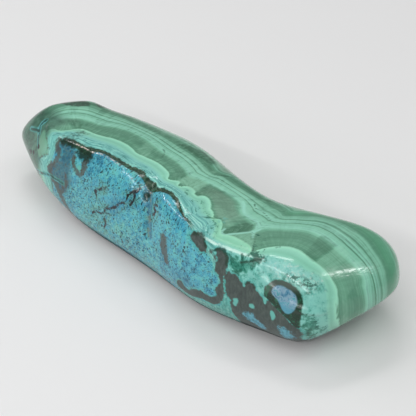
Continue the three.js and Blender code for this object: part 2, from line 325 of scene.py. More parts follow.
# Brown and dark seams on the blue side: each is its width and its line.
frontSeams = {
    "brownSeams": [
        (2.8, [(-50.9, 30.6), (-49.9, 29.6), (-48, 28.4), (-48.3, 25.4), (-51.4, 22)]),
        (3.2, [(-51.5, 21.6), (-50, 19), (-46.8, 16.9), (-44.6, 13.5), (-42.8, 9.5), (-41, 2)]),
        (1.6, [(-42, 22.5), (-41, 19.5), (-42.3, 16.9), (-44.6, 14)]),
        (2.0, [(-40.4, 30.6), (-39.8, 28.4), (-38.6, 26.9), (-36.4, 25.9), (-34.4, 26.2)]),
        (3.0, [(-34.4, 26.4), (-33.8, 28.2), (-34.4, 30.4)]),
        (0.5, [(-58.6, 28.8), (-55.4, 27.6), (-53.6, 25.8), (-56.4, 23.6), (-59, 22)]),
        (0.7, [(33.6, 29.6), (35, 30.2), (37, 29.8), (38.6, 28.6)]),
        (4.2, [(12.9, 23.8), (13.6, 21.5), (14.6, 19.6)]),
        (2.8, [(14.6, 19.6), (15.6, 17.8), (16.2, 16.6)]),
    ],
    "darkSeams": [
        (1.0, [(36.8, 30.9), (38.2, 31.9), (40.6, 31.8), (42.4, 30.6), (43, 28.6)]),
        (0.9, [(51.4, 24.8), (52.6, 25.9), (54, 25.8), (55, 24.6)]),
        (0.8, [(26, 32), (29, 32.6), (31.5, 32), (33, 30.6)]),
        (0.8, [(-49.5, 31.8), (-46, 32.6), (-42, 32.2)]),
        (0.7, [(47.6, 31), (50, 32), (52, 33.1), (54, 34)]),
        (1.1, [(58.8, 25.4), (59.2, 23.6), (61.6, 22.4), (64, 20.9)]),
    ],
}

# Cracks seen from the front, in the blue and then at the tapered end.
cracks = [
    [(-26, 14.3), (-24, 16), (-21.5, 16.5), (-19.5, 18), (-18.5, 20), (-16.3, 20.8), (-15.3, 22),
     (-13.5, 22.8), (-12.8, 24.3), (-11.5, 25.3), (-10.8, 26.2), (-9.7, 26)],
    [(-24.3, 22.5), (-25.7, 23.7), (-24, 24.7), (-22.7, 26), (-21.5, 26.3)],
    [(-19, 15.5), (-18.5, 13.5), (-19.7, 11)],
    [(-6, 32.2), (-6.8, 30.8), (-6.3, 29.5), (-6.5, 28), (-7, 26.5)],
    [(-7.3, 31.5), (-8.3, 30.5), (-9.2, 29.3), (-9.3, 28)],
    [(5.5, 32), (4.2, 31.5), (4, 30.5), (5.5, 30), (5, 28.7), (3.8, 27.8)],
]

endCracks = [
    [(-72.4, 25.2), (-70, 26), (-67.6, 27.1), (-65.4, 27.7)],
    [(-65.9, 31), (-66.8, 29.8), (-67, 28.8), (-65.4, 27.7), (-64.3, 26.4), (-62.6, 24.6), (-61.8, 24.3)],
    [(-63, 13.6), (-57, 16), (-50, 18.6), (-42.6, 18.8)],
]

# A shallow valley down the blue side, seen from the front.
valley = [(-2.7, 33.5), (0, 31.2), (1.0, 29), (1.8, 26.7), (3, 23.5), (4.2, 20.3)]

# Small black pits at the tapered end, seen from the front.
endPits = [(-61.8, 24.2), (-64.8, 20.3), (-67.2, 19.2), (-68.4, 18.5)]

# Slight ridges that catch the light: the crest's ledge and seam seen from above, and the blunt
# end's nose seen from the front.
ledgeRidges = [
    [(-62, -17.3), (-58, -18.8), (-54, -19.6), (-50, -19.8), (-46, -19.9), (-42, -19.6), (-38, -19.4),
     (-34, -19.4), (-31, -18.8), (-27, -18.2), (-22, -18.3), (-17, -18.2)],
    [(-5, -18.6), (-2, -19.6), (1, -19.8)],
]
seamRidges = [
    [(19.7, -21.5), (25.6, -23), (31.6, -23.3), (37.6, -22.7), (43, -21.6), (48.2, -20.4),
     (51.5, -19), (54, -17.4)],
]
noseRidges = [
    [(54, 29.8), (57, 28.2), (59.8, 27), (63, 26)],
    [(68.5, 23.8), (70.4, 23.2), (74.1, 22.8), (76.6, 22.3)],
]


def fineMesh(cadNode):
    mesh = cadNode.data.copy()
    mesh.materials.clear()
    bm = bmesh.new()
    bm.from_mesh(mesh)
    bmesh.ops.remove_doubles(bm, verts=bm.verts, dist=1e-6)
    bmesh.ops.join_triangles(
        bm, faces=bm.faces, angle_face_threshold=math.pi, angle_shape_threshold=math.pi
    )
    bm.to_mesh(mesh)
    bm.free()
    for name in [a.name for a in mesh.attributes if not a.is_required]:
        mesh.attributes.remove(mesh.attributes[name])
    piece = bpy.data.objects.new(stone["name"], mesh)
    bpy.context.scene.collection.objects.link(piece)
    smoother = piece.modifiers.new("smooth", "SUBSURF")
    smoother.levels = smoother.render_levels = stone["levels"]
    evaluated = piece.evaluated_get(bpy.context.evaluated_depsgraph_get())
    fine = bpy.data.meshes.new_from_object(evaluated)
    piece.modifiers.clear()
    piece.data = fine
    tuckFoot(fine)
    fine.shade_smooth()
    return piece


def tuckFoot(mesh):
    # the sides draw in a little just above the floor, about the stone's middle line
    points = meshPoints(mesh)
    x, y, z = points.T
    middle = np.polyval(np.polyfit(x, y, stone["middleDegree"]), x)
    tuck = stone["tuckShare"] * fade(z, stone["tuckHeight"], -stone["tuckHeight"]) ** 2
    points[:, 1] = middle + (y - middle) * (1 - tuck)
    points[:, 0] = x * (1 - tuck * stone["tuckAlong"])
    mesh.vertices.foreach_set("co", (points * mm).astype(np.float32).ravel())
    mesh.update()


def meshPoints(mesh):
    points = np.zeros(len(mesh.vertices) * 3, np.float32)
    mesh.vertices.foreach_get("co", points)
    return points.reshape(-1, 3).astype(float) / mm


def storeField(mesh, name, values):
    attribute = mesh.attributes.new(name, "FLOAT", "POINT")
    attribute.data.foreach_set("value", np.asarray(values, np.float32))


def growthField(u, v):
    # counts the sheets from the blue side backwards, in between by the share of the gap
    bluewards = [(200, -60), (200, -90), (-200, -90), (-200, -60)]
    distances, beyond = [], []
    for sheet in sheets:
        line = smoothLine(sheet)
        distances.append(lineDistance(u, v, line)[0])
        beyond.append(~insideLoop(u, v, np.vstack([line, bluewards])))
    first = stone["firstSheet"]
    growth = first - distances[0] / stone["innerStep"]
    for number, (here, outside) in enumerate(zip(distances, beyond)):
        if number + 1 < len(sheets):
            share = here / (here + distances[number + 1] + 1e-6)
        else:
            share = here / stone["outerStep"]
        growth = np.where(outside, first + number + share, growth)
    return growth


def sheetDepth(y, z):
    # how far back a point lies along the sheets, which lean, more so at the foot and behind
    lean = stone["lean"] * (stone["topHeight"] - z)
    foot = stone["footLean"] * np.clip(stone["footHeight"] - z, 0, None)
    rear = stone["rearBow"] * np.clip(y - stone["rearStart"], 0, None) * (z - stone["rearMiddle"]) ** 2
    return y - lean - foot - rear


def endWave(x, y, z):
    # the sheets wave down the front of the tapered end
    wave = sum(height * np.sin(turn * z + start) for height, turn, start in stone["waves"])
    limits = stone["waveLimits"]
    return wave * fade(x, *limits["x"]) * fade(y, *limits["y"]) * fade(z, *limits["z"])


def addTopFields(mesh, x, y, z):
    depth = sheetDepth(y, z)
    storeField(mesh, "growth", growthField(x + endWave(x, y, z), depth))
    lobes = smoothLine(sheets[stone["lobeSheet"]])
    storeField(mesh, "alongLobes", lineDistance(x, depth, lobes)[1])
    shade = np.zeros(len(x))
    for strength, edge in fans:
        inside = loopDepth(x, depth, np.array(edge, float))
        shade = shade + strength * fade(inside, -stone["fanEdge"] / 2, stone["fanEdge"])
    storeField(mesh, "fanShade", shade)
    below = np.clip(stone["topLimit"] - z, 0, None)
    for name, lines in topMarks.items():
        storeField(mesh, name + "Marks", nearest(x, depth, lines) + below)
    below = np.clip(stone["crestLimit"] - z, 0, None)
    storeField(mesh, "ledgeGap", nearest(x, y, ledgeRidges) + below)
    storeField(mesh, "ridgeGap", nearest(x, y, ledgeRidges + seamRidges) + below)


def addFrontFields(mesh, x, y, z):
    inFront = stone["frontLimit"] - y
    behind = np.clip(-inFront, 0, None)
    for name, outlines in frontPatches.items():
        inside = np.max([loopDepth(x, z, smoothLoop(outline)) for outline in outlines], axis=0)
        storeField(mesh, name, np.minimum(inside, inFront))
    for name, seams in frontSeams.items():
        inside = np.max([width / 2 - nearest(x, z, [line]) for width, line in seams], axis=0)
        storeField(mesh, name, np.minimum(inside, inFront))
    storeField(mesh, "crackGap", nearest(x, z, cracks) + behind)
    storeField(mesh, "valleyGap", nearest(x, z, [valley]) + behind)
    storeField(mesh, "noseGap", nearest(x, z, noseRidges) + behind)
    behind = np.clip(y - stone["endLimit"], 0, None)
    storeField(mesh, "endCracks", nearest(x, z, endCracks) + behind)
    pits = np.min([np.hypot(x - px, z - pz) for px, pz in endPits], axis=0)
    storeField(mesh, "endPits", pits + behind)


# Node helpers: each takes the tree first and gives back an output socket.

def addNode(tree, kind, inputs=None, **settings):
    node = tree.nodes.new(kind)
    for name, value in settings.items():
        setattr(node, name, value)
    for key, value in (inputs or {}).items():
        plug(tree, node.inputs[key], value)
    return node


def plug(tree, socket, value):
    if isinstance(value, bpy.types.NodeSocket):
        tree.links.new(value, socket)
    else:
        socket.default_value = value


def calc(tree, operation, *terms, clamp=False):
    node = addNode(tree, "ShaderNodeMath", dict(enumerate(terms)), operation=operation)
    node.use_clamp = clamp
    return node.outputs[0]


def product(tree, *terms):
    total = terms[0]
    for term in terms[1:]:
        total = calc(tree, "MULTIPLY", total, term)
    return total


def centred(tree, value):
    return calc(tree, "SUBTRACT", value, 0.5)


def step(tree, value, low, high):
    # 0 below low, 1 above high, smooth between; low may be above high
    node = addNode(
        tree, "ShaderNodeMapRange", {"Value": value, "From Min": low, "From Max": high},
        interpolation_type="SMOOTHSTEP",
    )
    return node.outputs[0]


def between(tree, value, low, full, fading, gone):
    # rises from low to full, falls from fading to gone
    return product(tree, step(tree, value, low, full), step(tree, value, gone, fading))


def paint(code):
    # a linear colour from a hex code
    parts = [int(code[i : i + 2], 16) / 255 for i in (0, 2, 4)]
    return [p / 12.92 if p <= 0.04045 else ((p + 0.055) / 1.055) ** 2.4 for p in parts] + [1.0]


def mix(tree, share, under, over):
    node = addNode(tree, "ShaderNodeMix", data_type="RGBA")
    plug(tree, node.inputs[0], share)
    plug(tree, node.inputs[6], paint(under) if isinstance(under, str) else under)
    plug(tree, node.inputs[7], paint(over) if isinstance(over, str) else over)
    return node.outputs[2]


def cover(tree, under, over, *shares):
    # lays one colour over another by the product of the shares
    return mix(tree, product(tree, *shares), under, over)


def ramp(tree, share, stops):
    node = addNode(tree, "ShaderNodeValToRGB", {"Fac": share})
    elements = node.color_ramp.elements
    while len(elements) < len(stops):
        elements.new(0.5)
    # places first, so that the stops are in order when they get their colours
    for element, stop in zip(elements, stops):
        element.position = stop[0]
    for element, stop in zip(elements, stops):
        element.color = paint(stop[1])
    return node.outputs[0]


def noise(tree, place, scale, detail=2.0, roughness=0.5, distortion=0.0):
    node = addNode(
        tree, "ShaderNodeTexNoise",
        {"Vector": place, "Scale": scale, "Detail": detail, "Roughness": roughness,
         "Distortion": distortion},
    )
    return node.outputs[0]


def cellEdges(tree, place, scale):
    node = addNode(
        tree, "ShaderNodeTexVoronoi", {"Vector": place, "Scale": scale}, feature="DISTANCE_TO_EDGE"
    )
    return node.outputs[0]


def field(tree, name):
    return addNode(tree, "ShaderNodeAttribute", attribute_name=name).outputs["Fac"]


def joined(tree, x, y, z=0.0):
    return addNode(tree, "ShaderNodeCombineXYZ", {0: x, 1: y, 2: z}).outputs[0]


def scaled(tree, vector, factor):
    return addNode(tree, "ShaderNodeVectorMath", {0: vector, "Scale": factor}, operation="SCALE").outputs[0]


def streaks(tree, u, acrossU, v, acrossV, detail=3.0, roughness=0.65):
    # noise drawn out by giving its two ways unlike scales
    place = joined(tree, product(tree, u, acrossU), product(tree, v, acrossV))
    return noise(tree, place, 1.0, detail, roughness)


# Relief under the polish. Widths are millimetres on the attributes that hold distances.
relief = {
    "Ripple Height": 0.10 * mm,
    "Ripple Scale": 60.0,
    "Rim Groove": 0.18 * mm,
    "Crack Depth": 0.18 * mm,
    "Crack Width": 1.1,
    "Valley Depth": 0.9 * mm,
    "Valley Width": 3.4,
    "Crest Ridge": 0.46 * mm,
    "Crest Width": 1.7,
    "Nose Ridge": 0.75 * mm,
    "Nose Width": 2.2,
    "Relief Starts": 0.5 * mm,
    "Relief Full": 3.0 * mm,
}


def nodeInput(tree, name, value):
    socket = tree.interface.new_socket(name=name, in_out="INPUT", socket_type="NodeSocketFloat")
    socket.default_value = value


def reliefTree(material):
    tree = bpy.data.node_groups.new("polishRelief", "GeometryNodeTree")
    tree.interface.new_socket(name="Geometry", in_out="INPUT", socket_type="NodeSocketGeometry")
    for name, value in relief.items():
        nodeInput(tree, name, value)
    tree.interface.new_socket(name="Geometry", in_out="OUTPUT", socket_type="NodeSocketGeometry")
    start = tree.nodes.new("NodeGroupInput").outputs

    def named(name):
        node = addNode(tree, "GeometryNodeInputNamedAttribute", {"Name": name}, data_type="FLOAT")
        return node.outputs[0]

    def lineRelief(name, width, height):
        return product(tree, step(tree, named(name), start[width], 0.0), start[height])

    normal = tree.nodes.new("GeometryNodeInputNormal").outputs[0]
    position = tree.nodes.new("GeometryNodeInputPosition").outputs[0]
    heightAbove = addNode(tree, "ShaderNodeSeparateXYZ", {0: position}).outputs[2]
    ripple = noise(tree, position, start["Ripple Scale"])
    height = product(tree, centred(tree, ripple), start["Ripple Height"])
    groove = product(tree, between(tree, named("growth"), -3.15, -2.75, -2.35, -1.95), start["Rim Groove"])
    height = calc(tree, "SUBTRACT", height, groove)
    height = calc(tree, "SUBTRACT", height, lineRelief("crackGap", "Crack Width", "Crack Depth"))
    height = calc(tree, "SUBTRACT", height, lineRelief("valleyGap", "Valley Width", "Valley Depth"))
    height = calc(tree, "ADD", height, lineRelief("ridgeGap", "Crest Width", "Crest Ridge"))
    height = calc(tree, "ADD", height, lineRelief("noseGap", "Nose Width", "Nose Ridge"))
    # nothing moves on the sole
    clearOfSole = step(tree, heightAbove, start["Relief Starts"], start["Relief Full"])
    push = scaled(tree, normal, product(tree, height, clearOfSole))
    moved = addNode(tree, "GeometryNodeSetPosition", {"Geometry": start["Geometry"], "Offset": push})
    real = addNode(tree, "GeometryNodeRealizeInstances", {"Geometry": moved.outputs[0]})
    dressed = addNode(
        tree, "GeometryNodeSetMaterial", {"Geometry": real.outputs[0], "Material": material}
    )
    ending = tree.nodes.new("NodeGroupOutput")
    tree.links.new(dressed.outputs[0], ending.inputs["Geometry"])
    return tree


def carveRelief(piece, material):
    modifier = piece.modifiers.new("polishRelief", "NODES")
    modifier.node_group = reliefTree(material)
    for item in modifier.node_group.interface.items_tree:
        if item.in_out == "INPUT" and item.name in relief:
            modifier[item.identifier] = relief[item.name]
    evaluated = piece.evaluated_get(bpy.context.evaluated_depsgraph_get())
    carved = bpy.data.meshes.new_from_object(evaluated)
    piece.modifiers.clear()
    piece.data = carved
    carved.shade_smooth()


finish = {
    "name": "polishedChrysocolla",
    "roughness": 0.10,
    "chertRoughness": 0.30,
    "roughnessSpread": 0.06,
    "soleRoughness": 0.9,    # added on the sole, where the polish ends
    # painted shade: the sole's dark colour stands in for the contact shadow along the foot
    "footShadeColour": "0c1c20",
    "footShadeShare": 0.9,
    "soleEdge": (7.0, 3.5),  # the sole's band, matt and painted dark as shade, starts and is full at these heights
    "bumpStrength": 0.12,
    "bumpDistance": 0.4 * mm,
}

# Malachite from the back of the rim to the dark bands, by growth.
sheetColours = [
    (-2.0, "569896"), (-1.6, "70b7b6"), (-1.1, "7ec5b8"), (-0.8, "87ccb5"), (-0.55, "7ec3a9"),
    (-0.35, "89ceb5"), (-0.06, "9ce0c4"), (0.0, "7cbb9d"), (0.03, "4f8a6f"), (0.25, "5d987c"),
    (0.5, "50896f"), (0.78, "589176"), (0.9, "67a68a"), (0.98, "7ec2a5"), (1.08, "8dceb7"),
    (1.22, "82c4ab"), (1.38, "7bbca1"), (1.42, "4c866b"), (1.46, "82c4ab"), (1.6, "89cab2"),
    (1.66, "71b195"), (1.7, "568f75"), (1.75, "7cbca1"), (1.92, "78b79c"), (2.02, "548f74"),
    (2.3, "488165"), (2.5, "518c70"), (2.7, "5e9c80"), (2.8, "7cbaa0"), (2.9, "619c82"), (3.0, "5d967e"),
]

# Zones of the blue side in the order they are laid: the attribute, how far its edge frays, where
# the edge starts and is full, how strongly it covers, and its colour, or colours by tone.
chertEdge = (-0.25, 0.25)
frontZones = [
    ("tealStrip", 1.0, (-0.3, 0.6), 1.0, [(0.35, "3c8c83"), (0.5, "55a399"), (0.62, "71b8ac")]),
    ("greyZone", 1.0, (-1.1, -0.2), 0.7, "53aaa2"),
    ("greyZone", 1.0, chertEdge, 1.0, [(0.3, "323d3a"), (0.5, "3d4a46"), (0.7, "4d5a54")]),
    ("brownSeams", 1.7, (-0.5, 0.7), 0.85, [(0.3, "3a3a2e"), (0.5, "4f4940"), (0.7, "3f5850")]),
    ("islets", 0.4, (-0.3, 0.3), 1.0, "61b2a7"),
    ("blueIslets", 2.2, (-0.2, 1.0), 0.9, [(0.36, "3d848e"), (0.5, "58a2b8"), (0.62, "6ab0bf")]),
    ("darkSeams", 0.5, (-0.3, 0.3), 0.85, "123525"),
    ("darkPatches", 1.5, (-0.9, 0.8), 0.95, "07291b"),
]

# Specks in the blue, from coarse to fine: cells per millimetre, size, gate and strength.
speckSizes = [
    (0.62, 0.34, 0.66, 0.95),
    (1.1, 0.40, 0.56, 0.9),
    (1.8, 0.46, 0.46, 0.75),
    (2.8, 0.5, 0.5, 0.5),
]


def stonePlaces(tree):
    # places, sheets and tones that several zones read
    place = scaled(tree, addNode(tree, "ShaderNodeTexCoord").outputs["Object"], 1 / mm)
    x, y, z = addNode(tree, "ShaderNodeSeparateXYZ", {0: place}).outputs
    # the sheets' edges wander a little, most at the tapered end's front
    wander = centred(tree, noise(tree, place, 0.22, 3.0))
    sheetCount = field(tree, "growth")
    taperedFront = product(tree, step(tree, x, -46.0, -56.0), step(tree, y, -12.0, -18.0))
    wanderShare = calc(tree, "MULTIPLY_ADD", taperedFront, 1.6, 0.10)
    blockNoise = noise(tree, place, 0.34, 6.0, 0.68, 0.35)
    frayNoise = noise(tree, place, 0.75, 5.0, 0.65)
    return SimpleNamespace(
        place=place, x=x, y=y, z=z,
        wander=wander,
        sheetCount=sheetCount,
        growth=calc(tree, "MULTIPLY_ADD", wander, wanderShare, sheetCount),
        along=field(tree, "alongLobes"),
        bluntSide=step(tree, x, 36.0, 44.0),
        rimTone=noise(tree, place, 0.8, 3.0, 0.6),
        blockNoise=blockNoise,
        blockTone=calc(tree, "MULTIPLY_ADD", step(tree, x, 52.0, 44.0), -0.07, blockNoise),
        greyTone=noise(tree, joined(tree, x, y, product(tree, z, 0.4)), 1.1, 4.0, 0.6),
        raggedEdge=product(tree, centred(tree, frayNoise), 2.6),
    )


def ragged(tree, here, name, share):
    # an attribute's edge, frayed
    return calc(tree, "MULTIPLY_ADD", here.raggedEdge, share, field(tree, name))


def sheetBands(tree, here):
    low, high = sheetColours[0][0], sheetColours[-1][0]
    share = addNode(tree, "ShaderNodeMapRange", {"Value": here.growth, "From Min": low, "From Max": high})
    stops = [((where - low) / (high - low), code) for where, code in sheetColours]
    malachite = ramp(tree, share.outputs[0], stops)
    # past the last outline the bands go on by chance
    bandWave = noise(tree, joined(tree, product(tree, here.growth, 0.9), 0.0), 1.0, 3.0, 0.6)
    backBands = ramp(tree, bandWave, [
        (0.30, "41795e"), (0.42, "59997a"), (0.50, "67a98a"), (0.56, "81c4a5"), (0.62, "59997a"),
        (0.72, "488467"),
    ])
    return cover(tree, malachite, backBands, step(tree, here.growth, 2.9, 3.2))


def fanShades(tree, here, malachite):
    fans = field(tree, "fanShade")
    malachite = cover(tree, malachite, "8cc6aa", calc(tree, "MAXIMUM", fans, 0.0), 0.8)
    # the dark fans of the tapered end are ragged and stay on top
    raggedFan = step(tree, noise(tree, here.place, 0.6, 4.0, 0.65), 0.30, 0.50)
    raggedFan = product(tree, raggedFan, step(tree, here.z, 24.0, 29.0))
    fanPlace = calc(tree, "MAXIMUM", raggedFan, step(tree, here.x, -58.0, -50.0))
    darker = calc(tree, "MULTIPLY", fans, -1.0, clamp=True)
    fanColour = mix(tree, step(tree, here.x, -50.0, -58.0), "2b6046", "293e33")
    return cover(tree, malachite, fanColour, darker, 0.85, fanPlace)


def fibreGrain(tree, here, malachite):
    # fine laminae along the sheets and fibres across them
    fibres = streaks(tree, here.along, 1.5, here.growth, 1.5)
    laminae = streaks(tree, here.sheetCount, 16.0, here.along, 0.05)
    stripes = streaks(tree, here.sheetCount, 7.0, here.along, 0.012, 1.0, 0.5)
    paleZone = between(tree, here.growth, 0.95, 1.05, 1.95, 2.1)
    lineShare = calc(tree, "MULTIPLY_ADD", here.bluntSide, 0.35, 0.35)
    lineShare = calc(tree, "MULTIPLY_ADD", paleZone, 0.3, lineShare)
    lines = product(tree, centred(tree, laminae), lineShare)
    lines = calc(tree, "ADD", lines, product(tree, centred(tree, stripes), paleZone, 0.6))
    threadShare = calc(tree, "MULTIPLY_ADD", here.bluntSide, -0.65, 1.1)
    threads = product(tree, centred(tree, fibres), threadShare)
    fibrous = calc(tree, "MULTIPLY_ADD", step(tree, here.growth, -0.1, 0.1), 0.8, 0.2)
    grain = product(tree, calc(tree, "ADD", lines, threads), fibrous)
    malachite = cover(tree, malachite, "a2dec3", calc(tree, "MAXIMUM", grain, 0.0))
    return cover(tree, malachite, "275840", calc(tree, "MULTIPLY", grain, -1.7, clamp=True))


def malachiteTints(tree, here, malachite):
    x, growth = here.x, here.growth
    # smoky fibres in the middle
    smoky = between(tree, x, 8.0, 18.0, 28.0, 34.0)
    malachite = cover(tree, malachite, "8ba393", smoky, between(tree, growth, -0.02, 0.2, 0.7, 1.0), 0.28)
    # the blunt end is painted a touch paler, as light falling on that side, and is greener at the back
    malachite = cover(tree, malachite, "b6f2d8", here.bluntSide, 0.03)
    malachite = cover(tree, malachite, "62b58c", here.bluntSide, step(tree, growth, 2.0, 2.4), 0.35)
    # the back turns grey behind the waist
    greyBack = between(tree, growth, 2.9, 3.3, 4.2, 5.2)
    malachite = cover(tree, malachite, "98ada0", greyBack, between(tree, x, -8.0, 6.0, 44.0, 54.0), 0.45)
    # thin marks
    malachite = cover(tree, malachite, "96d7c3", step(tree, field(tree, "paleMarks"), 0.8, 0.1), 0.85)
    malachite = cover(tree, malachite, "2a5c47", step(tree, field(tree, "darkMarks"), 0.55, 0.1), 0.75)
    # the scallops before the blunt end lean to yellow
    yellowing = between(tree, x, 20.0, 26.0, 48.0, 51.0)
    return cover(tree, malachite, "88ce98", yellowing, between(tree, growth, -1.1, -0.8, -0.04, 0.02), 0.2)


def turquoiseZone(tree, here, malachite):
    # between malachite and blue, brushed and freckled
    turquoise = ramp(tree, streaks(tree, here.along, 0.22, here.growth, 7.0), [
        (0.30, "357a74"), (0.42, "5aa39c"), (0.52, "77c0b8"), (0.60, "84cbbd"), (0.70, "98dac8"),
    ])
    dashes = streaks(tree, here.along, 0.8, here.growth, 9.0, roughness=0.7)
    turquoise = cover(tree, turquoise, "1e5046", step(tree, dashes, 0.58, 0.66), 0.75)
    malachite = cover(tree, malachite, turquoise, step(tree, here.growth, -1.05, -1.45))
    # dark freckles where the scallops meet the turquoise
    freckleBand = between(tree, here.growth, -1.75, -1.35, -0.7, -0.3)
    freckles = step(tree, noise(tree, here.place, 0.55, 5.0, 0.7), 0.53, 0.6)
    return cover(tree, malachite, "2c7463", freckleBand, between(tree, here.x, 2.0, 9.0, 31.0, 36.0),
                 freckles, 0.75)


def taperedEnd(tree, here, malachite):
    # the tapered end is darker and greyer on the blue side
    endTone = product(tree, step(tree, here.x, -55.5, -61.0), step(tree, here.y, -7.0, -14.0))
    endNoise = noise(tree, joined(tree, here.x, here.y, product(tree, here.z, 0.5)), 0.35, 4.0, 0.6)
    endColour = ramp(tree, endNoise, [(0.35, "1f4035"), (0.5, "2f5748"), (0.65, "446f5e")])
    malachite = cover(tree, malachite, endColour, endTone, 0.85)
    endPale = calc(tree, "MULTIPLY_ADD", here.wander, 2.0, field(tree, "endPale"))
    return cover(tree, malachite, "6ca489", step(tree, endPale, -0.4, 0.6), 0.75)


def darkRim(tree, here, colour):
    # between turquoise and blue
    rimColour = ramp(tree, here.rimTone, [
        (0.35, "0c2f1f"), (0.5, "1a4431"), (0.58, "424e3b"), (0.64, "296754"),
    ])
    rimNoise = centred(tree, noise(tree, here.place, 0.7, 3.0, 0.6))
    rimEdge = calc(tree, "MULTIPLY_ADD", rimNoise, 0.7, here.growth)
    rim = step(tree, rimEdge, -2.02, -2.2)
    return cover(tree, colour, rimColour, rim, between(tree, here.x, -51.0, -48.5, 20.0, 27.0))


def blueFace(tree, here, colour, blue):
    blueNoise = centred(tree, noise(tree, here.place, 0.6, 3.0))
    blueEdge = calc(tree, "MULTIPLY_ADD", blueNoise, 0.5, here.growth)
    colour = cover(tree, colour, blue, step(tree, blueEdge, -2.85, -3.05))
    # a grey-blue corner towards the tapered end
    greyBlue = calc(tree, "MULTIPLY_ADD", here.wander, 6.0, field(tree, "greyBlue"))
    greyBlueColour = ramp(tree, here.rimTone, [
        (0.36, "1d4658"), (0.48, "2f6075"), (0.58, "40585b"), (0.68, "4e564e"),
    ])
    colour = cover(tree, colour, greyBlueColour, step(tree, greyBlue, -1.0, 1.5), 0.8)
    # a pale ledge along the crest, partly a pale mineral line and partly a painted highlight
    ledgeAndGlint = calc(tree, "MULTIPLY_ADD", here.rimTone, 1.8, field(tree, "ledgeGap"))
    ledgeAndGlint = step(tree, ledgeAndGlint, 1.1, 0.8)
    return cover(tree, colour, "dbcdc1", ledgeAndGlint, step(tree, here.x, -57.0, -48.0), 0.75)


def bluntBlock(tree, here, colour):
    # mottled turquoise on the blunt end's front
    frayed = calc(tree, "MULTIPLY_ADD", centred(tree, here.blockNoise), 1.6, here.growth)
    blockColour = ramp(tree, here.blockTone, [
        (0.32, "155e4c"), (0.40, "3b8e7f"), (0.46, "5daea0"), (0.54, "75c1b4"), (0.64, "93d3c5"),
        (0.74, "b5e0d5"),
    ])
    # painted sheen: pale mottled colour above the eye in place of a soft reflection
    paintedSheenColour = ramp(tree, here.blockTone, [(0.4, "6cb5ac"), (0.5, "8fcac6"), (0.6, "b5dfd8")])
    blockColour = cover(tree, blockColour, paintedSheenColour, step(tree, field(tree, "paintedSheen"), -1.2, 1.2))
    block = step(tree, here.x, 41.0, 45.0)
    colour = cover(tree, colour, blockColour, block, step(tree, frayed, -0.75, -1.5))
    # a pale seam along the crest before it, partly a pale mineral seam and partly a painted highlight
    seamAndGlint = calc(tree, "MULTIPLY_ADD", here.rimTone, 0.9, field(tree, "ridgeGap"))
    seamAndGlint = step(tree, seamAndGlint, 1.05, 0.65)
    colour = cover(tree, colour, "d3f0e4", seamAndGlint, between(tree, here.x, 28.0, 32.0, 51.0, 55.0), 0.6)
    # pale and dark flecks behind the eye
    flecks = noise(tree, here.place, 0.6, 5.0, 0.65)
    fleckEdge = calc(tree, "MULTIPLY_ADD", here.wander, 0.5, here.growth)
    fleckBand = product(tree, step(tree, here.x, 54.0, 60.0), step(tree, here.z, 27.0, 31.0),
                        between(tree, fleckEdge, -1.4, -1.15, -1.0, -0.8))
    colour = cover(tree, colour, "d9ddd2", fleckBand, step(tree, flecks, 0.5, 0.66), 0.35)
    colour = cover(tree, colour, "4f9a80", fleckBand, step(tree, flecks, 0.46, 0.36), 0.5)
    # teal shadows in it
    shadow = calc(tree, "MULTIPLY_ADD", centred(tree, here.blockTone), -14.0, field(tree, "tealShadow"))
    shadowColour = ramp(tree, here.blockTone, [(0.38, "125846"), (0.48, "297b68"), (0.56, "53a18e")])
    return cover(tree, colour, shadowColour, step(tree, shadow, -0.8, 0.8), 0.9)


def frontLayers(tree, here, colour):
    for name, fray, edge, strength, paints in frontZones:
        if not isinstance(paints, str):
            paints = ramp(tree, here.greyTone, paints)
        colour = cover(tree, colour, paints, step(tree, ragged(tree, here, name, fray), *edge), strength)
    # dark branching flecks above the eye
    flecks = step(tree, noise(tree, here.place, 0.9, 3.0, 0.6), 0.47, 0.53)
    return cover(tree, colour, "1c5848", step(tree, field(tree, "speckled"), -0.6, 0.6), flecks, 0.85)


def eye(tree, here, colour):
    # a blue lens in a dark ring
    lower = step(tree, calc(tree, "MULTIPLY_ADD", here.x, -0.35, here.z), 6.5, 2.5)
    ringColour = mix(tree, lower, "4b5951", "0a3120")
    ringColour = cover(tree, ringColour, "2e775a", step(tree, here.blockTone, 0.52, 0.62), 0.6)
    colour = cover(tree, colour, ringColour, step(tree, ragged(tree, here, "eyeRim", 0.35), -0.3, 0.3))
    lensColour = ramp(tree, noise(tree, here.place, 0.55, 4.0, 0.65, 0.6), [
        (0.36, "3a7590"), (0.44, "5f90a8"), (0.52, "86a3b3"), (0.6, "5c9fae"), (0.68, "458a92"),
    ])
    lensColour = cover(tree, lensColour, "4397ac", step(tree, here.z, 25.0, 21.5), 0.8)
    return cover(tree, colour, lensColour, step(tree, ragged(tree, here, "eyeLens", 0.25), -0.3, 0.4))


def crackMarks(tree, here, colour):
    crack = ragged(tree, here, "crackGap", -0.5)
    colour = cover(tree, colour, "17141a", step(tree, crack, 0.68, 0.25), 0.95)
    endCrack = ragged(tree, here, "endCracks", -0.4)
    crackEdge = mix(tree, step(tree, here.wander, -0.08, 0.08), "5db5b8", "3d8c83")
    colour = cover(tree, colour, crackEdge, step(tree, endCrack, 1.1, 0.55), 0.75)
    colour = cover(tree, colour, "14392f", step(tree, endCrack, 0.6, 0.2), 0.9)
    return cover(tree, colour, "06221b", step(tree, field(tree, "endPits"), 1.1, 0.7))


